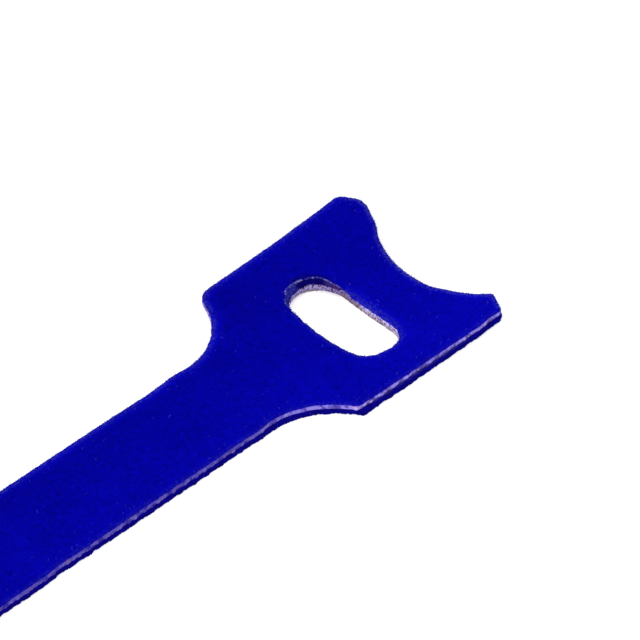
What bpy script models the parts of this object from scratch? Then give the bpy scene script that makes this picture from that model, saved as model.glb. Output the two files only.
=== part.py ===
# Hook and loop cable tie, lying hook side down.
#
# The tie is a laminate of two plies, die cut together: a loop fabric on top and
# a moulded hook tape below. A narrow strap runs into a wider head, which has a
# cross slot for the strap's tail and a hollow end between two ears.
#
# Metres, +Z up. +X runs along the strap towards the head. The origin is under
# the middle of the tie, on the surface it lies on, midway across the head.

from math import asin, atan2, cos, hypot, pi, sin, sqrt

import bmesh
import bpy

MM = 0.001

# Overall sizes
TIE_LENGTH = 150 * MM
STRAP_WIDTH = 12.5 * MM
HEAD_WIDTH = 26.8 * MM

# Plies, from the table up
HOOK_PLY = 1.0 * MM
LOOP_PLY = 0.75 * MM

# The hook tape stands out past the loop fabric along the head's right side.
HOOK_LAP = 0.3 * MM

# The die sat off the middle of the web, so the strap, slot and hollow end share
# an axis that lies to the right of the head's own middle.
DIE_OFFSET = 1.62 * MM

# The head narrows a little from its ears back to its shoulders.
TAPER_LEFT = 0.95 * MM
TAPER_RIGHT = 0.4 * MM

# Distances back from the front of the tie, which is the tip of the left ear
SHOULDER_BACK = 24.5 * MM
SLOT_BACK = 15.85 * MM
NOTCH_BACK = 5.25 * MM

# Arcs between the strap and the head's shoulders
NECK_RADIUS_LEFT = 9.45 * MM
NECK_RADIUS_RIGHT = 11.0 * MM

# Slot for the strap's tail
SLOT_CLEARANCE = 2.5 * MM
SLOT_WIDTH = 7.3 * MM
SLOT_CORNER = 3.45 * MM

# Hollow front end: an arc, then a straight flank up to each ear's tip
NOTCH_RADIUS = 11.75 * MM
NOTCH_REACH_LEFT = 8.0 * MM
NOTCH_REACH_RIGHT = 7.7 * MM

# Ears: how far each tip stands in from the head's side and back from the front,
# and how far back each outer corner is from its tip
EAR_WIDTH_LEFT = 2.74 * MM
EAR_WIDTH_RIGHT = 2.63 * MM
RIGHT_EAR_BACK = 0.7 * MM
EAR_SLOPE_LEFT = 1.76 * MM
EAR_SLOPE_RIGHT = 1.45 * MM

# A rounded tip stops short of the corner that it rounds.
TIP_ROUNDING_LOSS = 0.39 * MM

# How far each corner's rounding reaches along the edges that meet there
SHOULDER_ROUND_LEFT = 1.8 * MM
SHOULDER_ROUND_RIGHT = 0.25 * MM
EAR_CORNER_ROUND_LEFT = 0.55 * MM
EAR_CORNER_ROUND_RIGHT = 0.35 * MM
EAR_TIP_ROUND_LEFT = 1.5 * MM
EAR_TIP_ROUND_RIGHT = 0.7 * MM
FLANK_ROUND = 1.1 * MM

# Rows of hooks on the underside, each one a long rib here
ROW_PITCH = 1.0 * MM
ROW_WIDTH = 0.42 * MM
HOOK_HEIGHT = 0.6 * MM

# Points in each round stretch of the outline
TAIL_STEPS = 24
NECK_STEPS = 12
NOTCH_STEPS = 20
CORNER_STEPS = 8
JOIN_STEPS = 4

WELD_DISTANCE = 0.000001
CUTTER_MARGIN = 2 * MM

# Places that follow from the sizes
FRONT_X = TIE_LENGTH / 2
TAIL_X = -TIE_LENGTH / 2
SHOULDER_X = FRONT_X - SHOULDER_BACK
SLOT_X = FRONT_X - SLOT_BACK
NOTCH_X = FRONT_X - NOTCH_BACK
AXIS_Y = -DIE_OFFSET
HALF_STRAP = STRAP_WIDTH / 2
SLOT_LENGTH = STRAP_WIDTH + SLOT_CLEARANCE
PLY_JOINT_Z = HOOK_PLY

# Colours, linear
LOOP_BLUE = (0.002, 0.001, 0.38, 1)
HOOK_NAVY = (0.003, 0.0, 0.17, 1)


def remove_scene_objects():
    """Start from an empty scene."""
    for obj in list(bpy.data.objects):
        bpy.data.objects.remove(obj, do_unlink=True)


def arc(centre, radius, start, end, steps):
    """Points on an arc from one angle to another."""
    x, y = centre
    angles = [start + (end - start) * i / steps for i in range(steps + 1)]
    return [(x + radius * cos(a), y + radius * sin(a)) for a in angles]


def shortened(points, reach):
    """The same run of points, cut back by a distance from its last point."""
    points = list(points)
    while len(points) > 1:
        (x0, y0), (x1, y1) = points[-2:]
        step = hypot(x1 - x0, y1 - y0)
        if step > reach:
            share = reach / step
            points[-1] = (x1 + (x0 - x1) * share, y1 + (y0 - y1) * share)
            return points
        reach -= step
        points.pop()
    return points


def joined(first, second, reach):
    """Two runs that meet in a corner, joined with the corner rounded."""
    corner_x, corner_y = first[-1]
    first = shortened(first, reach)
    second = shortened(second[::-1], reach)[::-1]
    (ax, ay), (bx, by) = first[-1], second[0]
    bend = []
    for i in range(1, JOIN_STEPS):
        t = i / JOIN_STEPS
        a, c, b = (1 - t) ** 2, 2 * t * (1 - t), t * t
        bend.append((a * ax + c * corner_x + b * bx, a * ay + c * corner_y + b * by))
    return first + bend + second


def neck_arc(side, side_y, radius):
    """Arc from the strap's edge out to the shoulder, on the side of Y given by its sign."""
    centre_y = AXIS_Y + side * (HALF_STRAP + radius)
    rise = side_y - centre_y
    run = sqrt(radius ** 2 - rise ** 2)
    centre = (SHOULDER_X - run, centre_y)
    return arc(centre, radius, -side * pi / 2, atan2(rise, run), NECK_STEPS)


def tie_outline(right_lap=0.0):
    """The tie seen from above, anticlockwise from the strap's right edge at the tail."""
    left_ear_y = HEAD_WIDTH / 2
    right_ear_y = -HEAD_WIDTH / 2 + HOOK_LAP - right_lap
    left_shoulder_y = left_ear_y - TAPER_LEFT
    right_shoulder_y = right_ear_y + TAPER_RIGHT

    left_neck = neck_arc(1, left_shoulder_y, NECK_RADIUS_LEFT)
    right_neck = neck_arc(-1, right_shoulder_y, NECK_RADIUS_RIGHT)

    notch_centre = (NOTCH_X + NOTCH_RADIUS, AXIS_Y)
    left_swing = asin(NOTCH_REACH_LEFT / NOTCH_RADIUS)
    right_swing = asin(NOTCH_REACH_RIGHT / NOTCH_RADIUS)
    notch = arc(notch_centre, NOTCH_RADIUS, pi + right_swing, pi - left_swing, NOTCH_STEPS)

    left_tip = (FRONT_X + TIP_ROUNDING_LOSS, left_ear_y - EAR_WIDTH_LEFT)
    left_corner = (left_tip[0] - EAR_SLOPE_LEFT, left_ear_y)
    right_tip = (FRONT_X - RIGHT_EAR_BACK, -HEAD_WIDTH / 2 + HOOK_LAP + EAR_WIDTH_RIGHT)
    right_corner = (right_tip[0] - EAR_SLOPE_RIGHT, right_ear_y)

    tail_centre = (TAIL_X + HALF_STRAP, AXIS_Y)
    tail = arc(tail_centre, HALF_STRAP, pi / 2, 3 * pi / 2, TAIL_STEPS)

    path = tail + right_neck
    for run, reach in (
        ([right_neck[-1], right_corner], SHOULDER_ROUND_RIGHT),
        ([right_corner, right_tip], EAR_CORNER_ROUND_RIGHT),
        ([right_tip, notch[0]], EAR_TIP_ROUND_RIGHT),
        (notch, FLANK_ROUND),
        ([notch[-1], left_tip], FLANK_ROUND),
        ([left_tip, left_corner], EAR_TIP_ROUND_LEFT),
        ([left_corner, left_neck[-1]], EAR_CORNER_ROUND_LEFT),
        (left_neck[::-1], SHOULDER_ROUND_LEFT),
    ):
        path = joined(path, run, reach)
    return path


def slot_outline():
    """The slot: a rectangle across the strap's line with round corners."""
    radius = min(SLOT_CORNER, SLOT_WIDTH / 2, SLOT_LENGTH / 2)
    reach_x = SLOT_WIDTH / 2 - radius
    reach_y = SLOT_LENGTH / 2 - radius
    points = []
    for quarter, (side_x, side_y) in enumerate(((1, 1), (-1, 1), (-1, -1), (1, -1))):
        centre = (SLOT_X + side_x * reach_x, AXIS_Y + side_y * reach_y)
        start = quarter * pi / 2
        points += arc(centre, radius, start, start + pi / 2, CORNER_STEPS)
    return points


def add_spline(curve, points):
    """A closed run of straight segments through the points."""
    spline = curve.splines.new("POLY")
    spline.points.add(len(points) - 1)
    for spline_point, (x, y) in zip(spline.points, points):
        spline_point.co = (x, y, 0, 1)
    spline.use_cyclic_u = True


def make_ply(name, outline, base_z, thickness, collection):
    """One ply: the outline with the slot through it, filled and extruded upwards."""
    curve = bpy.data.curves.new(name + "_outline", "CURVE")
    curve.dimensions = "2D"
    curve.fill_mode = "BOTH"
    curve.extrude = thickness / 2
    add_spline(curve, outline)
    add_spline(curve, slot_outline())
    sheet = bpy.data.objects.new(name + "_outline", curve)
    sheet.location = (0, 0, base_z + thickness / 2)
    collection.objects.link(sheet)
    bpy.context.view_layer.update()

    evaluated = sheet.evaluated_get(bpy.context.evaluated_depsgraph_get())
    mesh = bpy.data.meshes.new_from_object(evaluated)
    mesh.name = name
    solid = bmesh.new()
    solid.from_mesh(mesh)
    bmesh.ops.remove_doubles(solid, verts=solid.verts, dist=WELD_DISTANCE)
    bmesh.ops.recalc_face_normals(solid, faces=solid.faces)
    solid.to_mesh(mesh)
    solid.free()

    ply = bpy.data.objects.new(name, mesh)
    ply.matrix_world = sheet.matrix_world.copy()
    collection.objects.link(ply)
    bpy.data.objects.remove(sheet, do_unlink=True)
    return ply


def make_material(name, colour, roughness, ply):
    """A plain Principled finish on one ply."""
    material = bpy.data.materials.new(name)
    material.use_nodes = True
    shader = material.node_tree.nodes["Principled BSDF"]
    shader.inputs["Base Color"].default_value = colour
    shader.inputs["Roughness"].default_value = roughness
    shader.inputs["Metallic"].default_value = 0.0
    material.diffuse_color = colour
    ply.data.materials.append(material)


def make_row_gaps(collection):
    """Long boxes that fill the gaps between the rows of hooks."""
    gap = ROW_PITCH - ROW_WIDTH
    length = TIE_LENGTH + 2 * CUTTER_MARGIN
    height = HOOK_HEIGHT + CUTTER_MARGIN
    gaps_each_side = int(HEAD_WIDTH / 2 / ROW_PITCH) + 1
    cutter_mesh = bmesh.new()
    for i in range(-gaps_each_side, gaps_each_side):
        box = bmesh.ops.create_cube(cutter_mesh, size=1)["verts"]
        bmesh.ops.scale(cutter_mesh, vec=(length, gap, height), verts=box)
        centre = (0, (i + 0.5) * ROW_PITCH, HOOK_HEIGHT - height / 2)
        bmesh.ops.translate(cutter_mesh, vec=centre, verts=box)
    mesh = bpy.data.meshes.new("row_gaps")
    cutter_mesh.to_mesh(mesh)
    cutter_mesh.free()
    cutter = bpy.data.objects.new("row_gaps", mesh)
    cutter.hide_render = True
    cutter.display_type = "WIRE"
    collection.objects.link(cutter)
    return cutter


def make_loop_fabric(collection):
    """The knitted loop fabric, the tie's upper ply."""
    fabric = make_ply("loop_fabric", tie_outline(), PLY_JOINT_Z, LOOP_PLY, collection)
    make_material("loop_blue", LOOP_BLUE, 0.95, fabric)
    return fabric


def make_hook_tape(collection, cutters):
    """The moulded hook tape, the tie's lower ply, with its rows of hooks as ribs."""
    tape = make_ply("hook_tape", tie_outline(HOOK_LAP), 0.0, HOOK_PLY, collection)
    make_material("hook_navy", HOOK_NAVY, 0.5, tape)
    rows = tape.modifiers.new("hook rows", "BOOLEAN")
    rows.operation = "DIFFERENCE"
    rows.solver = "EXACT"
    rows.object = make_row_gaps(cutters)
    return tape


def main():
    remove_scene_objects()
    tie = bpy.data.collections.new("hook and loop cable tie")
    cutters = bpy.data.collections.new("cutters")
    bpy.context.scene.collection.children.link(tie)
    bpy.context.scene.collection.children.link(cutters)
    make_loop_fabric(tie)
    make_hook_tape(tie, cutters)


main()
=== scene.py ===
# %% [markdown]
# A hook and loop cable tie
#
# The real tie is two plies bonded face to face and punched out in one stroke. On top lies a royal blue
# loop fabric, a brushed pile on a pale knitted ground. Under it lies a navy tape of moulded plastic
# hooks. The CAD model gives a plain slab over a ribbed one, so this lesson keeps their outlines and
# dresses them: a soft cloth with pile on it, pale yarn ends along each cut, and real hooks in rows below.

# %% Load the CAD frame
import math

import bmesh
import bpy
import numpy as np
from mathutils import Matrix, Vector, kdtree


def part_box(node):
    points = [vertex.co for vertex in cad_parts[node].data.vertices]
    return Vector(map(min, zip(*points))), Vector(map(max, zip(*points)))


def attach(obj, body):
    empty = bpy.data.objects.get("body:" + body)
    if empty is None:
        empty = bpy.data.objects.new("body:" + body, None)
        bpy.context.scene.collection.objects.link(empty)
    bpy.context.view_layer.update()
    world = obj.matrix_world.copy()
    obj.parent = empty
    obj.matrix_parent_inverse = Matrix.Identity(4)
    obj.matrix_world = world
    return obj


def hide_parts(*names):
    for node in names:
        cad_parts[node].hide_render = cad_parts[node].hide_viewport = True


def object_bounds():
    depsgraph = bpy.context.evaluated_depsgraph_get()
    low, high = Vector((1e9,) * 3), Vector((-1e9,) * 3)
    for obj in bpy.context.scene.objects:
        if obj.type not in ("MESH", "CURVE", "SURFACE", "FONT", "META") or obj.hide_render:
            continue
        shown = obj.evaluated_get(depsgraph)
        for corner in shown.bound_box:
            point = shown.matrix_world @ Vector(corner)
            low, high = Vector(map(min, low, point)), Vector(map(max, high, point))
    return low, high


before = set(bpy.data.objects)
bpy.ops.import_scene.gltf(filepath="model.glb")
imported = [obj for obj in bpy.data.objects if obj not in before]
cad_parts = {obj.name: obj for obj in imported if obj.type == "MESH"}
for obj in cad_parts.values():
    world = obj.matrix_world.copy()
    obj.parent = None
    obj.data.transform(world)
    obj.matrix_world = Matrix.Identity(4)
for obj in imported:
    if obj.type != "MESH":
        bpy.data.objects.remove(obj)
cad_low, cad_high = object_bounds()
MM = 0.001
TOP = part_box("loop_fabric")[1].z
PLY_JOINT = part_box("loop_fabric")[0].z
print("CAD box in mm:", [round(v / MM, 2) for v in (*cad_low, *cad_high)])
print("cloth face at", round(TOP / MM, 3), "mm, plies meet at", round(PLY_JOINT / MM, 3), "mm")

# %% [markdown]
# The camera
#
# The picture looks down on the head of the tie from beside the strap, about 42 degrees above the table,
# with a long lens. The camera is placed by distance, heading and height above its aim, which are easy to
# change.

# %% Aim the camera
AIM = Vector((57.31, -0.08, 1.75)) * MM
CAMERA_DISTANCE = 497.2 * MM
CAMERA_HEIGHT_ANGLE = 0.73182
CAMERA_HEADING = 0.78249
CAMERA_ROLL = -0.00198
LENS = 253.1
SENSOR = 36.0

toward_camera = Vector((
    -math.cos(CAMERA_HEIGHT_ANGLE) * math.sin(CAMERA_HEADING),
    -math.cos(CAMERA_HEIGHT_ANGLE) * math.cos(CAMERA_HEADING),
    math.sin(CAMERA_HEIGHT_ANGLE),
))


def add_object(name, data):
    """Puts a camera, a lamp or a mesh into the scene."""
    made = bpy.data.objects.new(name, data)
    bpy.context.scene.collection.objects.link(made)
    return made


camera_data = bpy.data.cameras.new("camera")
camera_data.lens = LENS
camera_data.sensor_width = SENSOR
camera_data.clip_start = 0.01
camera_data.clip_end = 20
camera = add_object("camera", camera_data)
turn = toward_camera.to_track_quat("Z", "Y").to_matrix().to_4x4()
camera.matrix_world = (
    Matrix.Translation(AIM + toward_camera * CAMERA_DISTANCE) @ turn @ Matrix.Rotation(CAMERA_ROLL, 4, "Z")
)
bpy.context.scene.camera = camera
print("camera stands at", [round(v, 4) for v in camera.matrix_world.translation])

# %% [markdown]
# The studio
#
# The tie lies on a white table in even light, with hardly a shadow. A white sky lights everything, a
# broad soft lamp from the strap's end gives the walls that face it a little more, and the table itself
# glows slightly, as a light table does, so that it stays white right up to the tie.

# %% Light the studio
SKY_STRENGTH = 0.78
scene = bpy.context.scene
scene.view_settings.view_transform = "Standard"
scene.view_settings.look = "None"
scene.view_settings.exposure = 0.0
scene.view_settings.gamma = 1.0

world = bpy.data.worlds.new("white_sky")
world.use_nodes = True
sky = world.node_tree.nodes["Background"]
sky.inputs["Color"].default_value = (1.0, 1.0, 1.0, 1.0)
sky.inputs["Strength"].default_value = SKY_STRENGTH
scene.world = world


def soft_lamp(name, place, aim, size, watts):
    """A square lamp at place that shines at aim."""
    data = bpy.data.lights.new(name, "AREA")
    data.shape = "SQUARE"
    data.size = size
    data.energy = watts
    lamp = add_object(name, data)
    turn = (Vector(place) - Vector(aim)).to_track_quat("Z", "Y").to_matrix().to_4x4()
    lamp.matrix_world = Matrix.Translation(Vector(place)) @ turn
    print("lamp", name, "of", watts, "W")


soft_lamp("key_lamp", (-0.55, -0.05, 0.62), (0.04, 0.0, 0.0), 0.5, 4.2)
soft_lamp("side_lamp", (0.30, -0.42, 0.50), (0.05, 0.0, 0.0), 0.4, 1.2)

# %% [markdown]
# Writing materials as sums
#
# A procedural material is a small calculation: where a point lies, some noise, a mask, a mix of two
# colours. As nodes alone it is hard to read, so a small class wraps one socket and lets Python's own
# signs add the Math nodes. Every other node comes from one method that takes its type, its settings and
# its inputs.

# %% A class for shader maths
class Wire:
    """An output socket. Signs such as + and < on it add Math nodes to the same material."""

    def __init__(self, finish, socket):
        self.finish = finish
        self.socket = socket

    def maths(self, operation, *values):
        return self.finish.node("ShaderNodeMath", {"operation": operation}, dict(enumerate(values)))

    def __add__(self, other):
        return self.maths("ADD", self, other)

    def __sub__(self, other):
        return self.maths("SUBTRACT", self, other)

    def __rsub__(self, other):
        return self.maths("SUBTRACT", other, self)

    def __mul__(self, other):
        return self.maths("MULTIPLY", self, other)

    def __lt__(self, other):
        return self.maths("LESS_THAN", self, other)

    __radd__ = __add__
    __rmul__ = __mul__

    def rise(self, start, stop):
        """0 below start, 1 above stop, and a smooth step between them."""
        settings = {"interpolation_type": "SMOOTHSTEP"}
        return self.finish.node("ShaderNodeMapRange", settings, {0: self, 1: start, 2: stop})

    def part(self, axis):
        """One part of a vector, by its letter."""
        return self.finish.node("ShaderNodeSeparateXYZ", {}, {0: self}, out=axis)


# %% A class for a whole material
class Finish:
    """A matt material in the making, with the nodes that feed its Principled shader."""

    def __init__(self, name, roughness=1.0):
        self.material = bpy.data.materials.new(name)
        self.material.use_nodes = True
        self.tree = self.material.node_tree
        self.shader = self.tree.nodes["Principled BSDF"]
        self.shader.inputs["Roughness"].default_value = roughness
        self.shader.inputs["Specular IOR Level"].default_value = 0.0

    def node(self, kind, settings, sockets, out=0):
        made = self.tree.nodes.new(kind)
        for key, value in settings.items():
            setattr(made, key, value)
        for key, value in sockets.items():
            if isinstance(value, Wire):
                self.tree.links.new(value.socket, made.inputs[key])
            else:
                made.inputs[key].default_value = value
        return Wire(self, made.outputs[out])

    def place(self):
        """Where a point lies on the tie, in millimetres."""
        spot = self.node("ShaderNodeTexCoord", {}, {}, out="Object")
        return self.node("ShaderNodeVectorMath", {"operation": "SCALE"}, {0: spot, "Scale": 1 / MM})

    def noise(self, spot, grain, detail=2.0, roughness=0.5):
        """Noise of about 0 to 1 whose blotches are grain millimetres across."""
        sockets = {"Vector": spot, "Scale": 1 / grain, "Detail": detail, "Roughness": roughness}
        return self.node("ShaderNodeTexNoise", {}, sockets)

    def stretch(self, spot, factors):
        return self.node("ShaderNodeVectorMath", {"operation": "MULTIPLY"}, {0: spot, 1: factors})

    def mix(self, share, first, second):
        """The first colour, turning into the second as share goes from 0 to 1."""
        first = first if isinstance(first, Wire) else (*first, 1.0)
        second = second if isinstance(second, Wire) else (*second, 1.0)
        return self.node("ShaderNodeMix", {"data_type": "RGBA"}, {0: share, 6: first, 7: second}, out=2)

    def bump(self, height, depth):
        """A Bump node whose height of 1 stands depth metres proud."""
        return self.node("ShaderNodeBump", {}, {"Strength": 1.0, "Distance": depth, "Height": height})

    def attribute(self, name):
        return self.node("ShaderNodeAttribute", {"attribute_name": name}, {}, out="Fac")

    def feed(self, **links):
        """Joins wires to the shader's own sockets, and gives the material back."""
        for socket, wire in links.items():
            self.tree.links.new(wire.socket, self.shader.inputs[socket.replace("_", " ")])
        print("finish", self.material.name, "with", len(self.tree.nodes), "nodes")
        return self.material


# %% [markdown]
# The table
#
# A plain white board, large enough to fill every view. It is not attached to the tie.

# %% Lay the table
TABLE_GLOW = 0.40
table_finish = Finish("white_table", 0.9)
table_finish.shader.inputs["Emission Color"].default_value = (1.0, 1.0, 1.0, 1.0)
table_finish.shader.inputs["Emission Strength"].default_value = TABLE_GLOW
speckle = table_finish.noise(table_finish.place(), 40.0)
table_white = table_finish.feed(Base_Color=table_finish.mix(speckle, (0.78,) * 3, (0.80,) * 3))

board = bmesh.new()
bmesh.ops.create_grid(board, x_segments=1, y_segments=1, size=3.0)
bmesh.ops.translate(board, verts=board.verts, vec=(0, 0, cad_low.z - 0.02 * MM))
table_mesh = bpy.data.meshes.new("table")
board.to_mesh(table_mesh)
board.free()
table_mesh.materials.append(table_white)
table = add_object("table", table_mesh)

# %% [markdown]
# Outlines from the CAD
#
# Both plies already have the right outline in the CAD, so their edges are read from there and not drawn
# twice. A CAD node's mesh is loose triangles, so a copy of it is merged first. The rim is then every edge
# where the flat top meets an upright wall. Walking along those edges gives closed loops, whose points are
# spaced out evenly.

# %% Read the rims of a ply
RIM_STEP = 0.25 * MM


def rims_of(node_name):
    """The closed loops round a ply's top, longest first: evenly spaced points as rows of x and y."""
    copy = bmesh.new()
    copy.from_mesh(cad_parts[node_name].data)
    bmesh.ops.remove_doubles(copy, verts=copy.verts, dist=0.001 * MM)
    copy.normal_update()
    height = max(v.co.z for v in copy.verts)
    ahead = {}
    for face in copy.faces:
        if face.normal.z < 0.9 or face.calc_center_median().z < height - 0.01 * MM:
            continue
        for loop in face.loops:
            neighbours = [f for f in loop.edge.link_faces if f is not face]
            if neighbours and abs(neighbours[0].normal.z) < 0.5:
                ahead[loop.vert] = loop.link_loop_next.vert
    loops = []
    while ahead:
        first, here = ahead.popitem()
        walk = [first.co.xy, here.co.xy]
        while here in ahead:
            here = ahead.pop(here)
            walk.append(here.co.xy)
        loops.append(evenly_spaced(np.array(walk[:-1])))
    copy.free()
    return sorted(loops, key=len, reverse=True)


def evenly_spaced(corners):
    """The same closed line with its points RIM_STEP apart."""
    closed = np.vstack([corners, corners[:1]])
    along = np.concatenate([[0.0], np.cumsum(np.linalg.norm(np.diff(closed, axis=0), axis=1))])
    count = int(round(along[-1] / RIM_STEP))
    wanted = np.arange(count) * along[-1] / count
    return np.stack([np.interp(wanted, along, closed[:, i]) for i in (0, 1)], axis=1)


cloth_outline, cloth_slot = rims_of("loop_fabric")
tape_outline, tape_slot = rims_of("hook_tape")
print("points on the cloth's rims:", len(cloth_outline), len(cloth_slot))
print("points on the tape's rims:", len(tape_outline), len(tape_slot))

# %% [markdown]
# Distances and directions at the rim
#
# Three questions come up again and again: which way is outwards at a point on the rim, how far is a point
# from the nearest cut, and does it lie inside the ply. The walk along a rim keeps the ply on its left all
# the way round, also at the slot, so outwards is always to the right of the way ahead.

# %% A class for the cut edges of a ply
class Cut:
    """The outline and the slot of one ply, with a search tree over their points."""

    def __init__(self, outline, slot):
        self.rims = [outline, slot]
        self.points = np.vstack(self.rims)
        self.on_slot = np.arange(len(self.points)) >= len(outline)
        self.outward = np.vstack([self.outwards(rim) for rim in self.rims])
        self.heading = np.arctan2(self.outward[:, 1], self.outward[:, 0])
        self.neighbours = [np.vstack([np.roll(rim, step, axis=0) for rim in self.rims]) for step in (-1, 1)]
        self.tree = kdtree.KDTree(len(self.points))
        for i, (x, y) in enumerate(self.points):
            self.tree.insert((x, y, 0.0), i)
        self.tree.balance()

    @staticmethod
    def outwards(rim):
        """A unit vector at each rim point, away from the ply."""
        ahead = np.roll(rim, -1, axis=0) - np.roll(rim, 1, axis=0)
        ahead /= np.linalg.norm(ahead, axis=1)[:, None]
        return np.stack([ahead[:, 1], -ahead[:, 0]], axis=1)

    def nearest(self, x, y):
        """For each point, how far the nearest cut is, and which rim point lies there."""
        number = np.array([self.tree.find((a, b, 0.0))[1] for a, b in zip(x, y)])
        away = np.stack([x, y], axis=1) - self.points[number]
        distances = []
        for neighbour in self.neighbours:
            side = neighbour[number] - self.points[number]
            share = np.clip((away * side).sum(axis=1) / (side * side).sum(axis=1), 0, 1)
            distances.append(np.linalg.norm(away - side * share[:, None], axis=1))
        return np.minimum(*distances), number

    def contains(self, x, y):
        """Whether points lie on the ply: a line to the right crosses the rims an odd number of times."""
        odd = np.zeros(len(x), bool)
        for rim in self.rims:
            for (ax, ay), (bx, by) in zip(rim, np.roll(rim, -1, axis=0)):
                if ay != by:
                    crosses = (ay > y) != (by > y)
                    odd ^= crosses & (x < ax + (y - ay) * (bx - ax) / (by - ay))
        return odd

    def samples(self, step, chance):
        """Points along the rims about step apart, and the number of the rim point before each."""
        spots, numbers, first = [], [], 0
        for rim in self.rims:
            count = int(len(rim) * RIM_STEP / step)
            at = (np.arange(count) + chance.uniform(-0.4, 0.4, count)) * len(rim) / count
            low = np.floor(at).astype(int)
            share = (at - low)[:, None]
            spots.append(rim[low % len(rim)] * (1 - share) + rim[(low + 1) % len(rim)] * share)
            numbers.append(low % len(rim) + first)
            first += len(rim)
        return np.vstack(spots), np.concatenate(numbers)


# %% A smooth step for arrays
def blend_in(value, start, stop):
    """0 before start, 1 after stop, and a smooth step between them."""
    share = np.clip((value - start) / (stop - start), 0, 1)
    return share * share * (3 - 2 * share)


# %% [markdown]
# The outline as a worn die cuts it
#
# The CAD's outline is exact. The real one strays from it by up to three tenths of a millimetre: the
# strap's sides stand out a little, one neck is fuller and the other is cut deeper. Short tables give
# this, in millimetres, for the tie's two long sides and for the head's end, and each rim is moved
# outwards or inwards by them.

# %% Let the outline stray
FAR_SIDE = [
    (-70, 0), (-60, 0.12), (26, 0.15), (31, 0.13), (33, 0.09), (35.5, 0.05), (37.2, 0.12), (38.8, 0.27),
    (40.2, 0.26), (41.8, 0.09), (44.8, -0.03), (47.8, -0.01), (49.2, -0.09), (52.2, 0.04), (56, -0.03),
    (60, -0.07), (63, -0.10), (66, -0.01), (70.2, 0.04), (71.8, 0.14), (73.2, 0.18),
]
NEAR_SIDE = [
    (-70, 0), (-60, 0.10), (0, 0.30), (1.8, 0.24), (3.2, 0.12), (9.2, 0.12), (10.8, -0.03),
    (12.2, -0.08), (13.8, 0), (20, 0), (24, -0.03), (34, 0.02), (36.2, -0.05), (40.4, 0.06),
    (42.2, -0.13), (43.8, -0.22), (46.8, -0.15), (48.2, -0.08), (49.8, 0.04), (51.2, 0.13),
    (54.2, 0.18), (62, 0.14), (69.2, 0.10), (70.8, -0.08), (74, -0.08),
]
HEAD_END = [
    (-10, 0), (-8.5, 0.18), (-6.5, 0.18), (-4.5, -0.10), (-2.5, 0.02), (0, 0.05), (2.5, 0.12),
    (4.2, 0.06), (5.5, -0.05), (7.5, 0.06), (9.5, -0.04), (10.5, 0), (11.5, 0.06), (13, 0.06),
]
DIE_CENTRE = (cad_low.y + cad_high.y) / 2
OUTLINE_WAVES = [(0.012, 2.1, 0.0), (0.012, 3.7, 1.0)]


def wavy(along, waves):
    """A sum of sine waves, each given by its height, how tight it is and where it starts."""
    return sum(height * np.sin(along * tightness + start) for height, tightness, start in waves)


def worn(outline):
    """The outline moved by the tables, with a fine waviness on top."""
    x, y = outline.T / MM
    far, near = (np.interp(x, *zip(*side)) for side in (FAR_SIDE, NEAR_SIDE))
    outwards = Cut.outwards(outline)
    far_side = y > DIE_CENTRE / MM
    faces_aside = np.where(far_side, 1, -1) * outwards[:, 1]
    moved = np.where(far_side, far, near) * blend_in(faces_aside, -0.1, 0.4)
    moved += np.interp(y, *zip(*HEAD_END)) * blend_in(x, 58, 62) * blend_in(outwards[:, 0], 0.3, 0.7)
    moved += wavy(x, OUTLINE_WAVES)
    return outline + outwards * moved[:, None] * MM


cloth_outline, tape_outline = worn(cloth_outline), worn(tape_outline)
print("outline moved by up to", max(abs(v) for _, v in FAR_SIDE + NEAR_SIDE + HEAD_END), "mm")

# %% [markdown]
# The slot as the punch left it
#
# The CAD's slot is a true rounded slot. On the real tie the soft cloth has moved: it bulges into the
# opening along the near side, and at the far end the punch has pressed it down into a lip, with a crease
# a little way back from the edge. Small tables give this by the distance round the slot, in millimetres:
# how far the edge stands in from the CAD's, how wide the pressed band behind it is and how strongly it is
# pressed, and how much light the cut wall gets.

# %% Tables round the slot
SLOT_TURN_Y = 2.43 * MM
SLOT_BULGE = [
    (0, 0.14), (0.9, 0.24), (1.8, 0.24), (2.7, 0.12), (3.6, 0.10), (4.5, 0.25), (5.6, 0.38),
    (6.7, 0.50), (7.6, 0.56), (8.5, 0.63), (9.4, 0.72), (10.3, 0.70), (11.2, 0.66), (11.7, 0.58),
    (12.7, 0.41), (13.7, 0.31), (14.7, 0.23), (15.7, 0.18), (17.7, 0.22), (18.7, 0.36), (19.7, 0.45),
    (20.5, 0.46), (22, 0.45), (23.2, 0.53), (24.2, 0.54), (25, 0.48), (26.4, 0.24), (27.9, 0.04),
    (30.6, 0), (36.2, -0.06), (38, -0.04),
]
LIP_WIDTH = [
    (0, 0.12), (0.9, 0.24), (1.8, 0.44), (2.7, 0.58), (3.6, 0.64), (4.5, 0.70), (5.6, 0.76),
    (6.7, 0.68), (7.6, 0.50), (8.5, 0.38), (9.4, 0.25), (10.3, 0.10), (11.2, 0.05), (38.2, 0.05),
]
LIP_STRENGTH = [(0.0, 0.85), (0.8, 1.0), (8.4, 1.0), (9.6, 0.6), (10.6, 0.0), (37.9, 0.0)]
WALL_LIGHT = [
    (0, 0.05), (1.2, 0.15), (2.5, 0.28), (5, 0.33), (7, 0.45), (10, 0.80), (30, 1), (34.8, 0.90),
    (35.4, 0.45), (36.2, 0.10),
]


def around_slot(table, distance):
    """A table's value at each distance round the slot, joined up end to end."""
    at, value = (np.array(column) for column in zip(*table))
    return np.interp(distance, at, value, period=len(distance) * RIM_STEP / MM)


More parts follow.
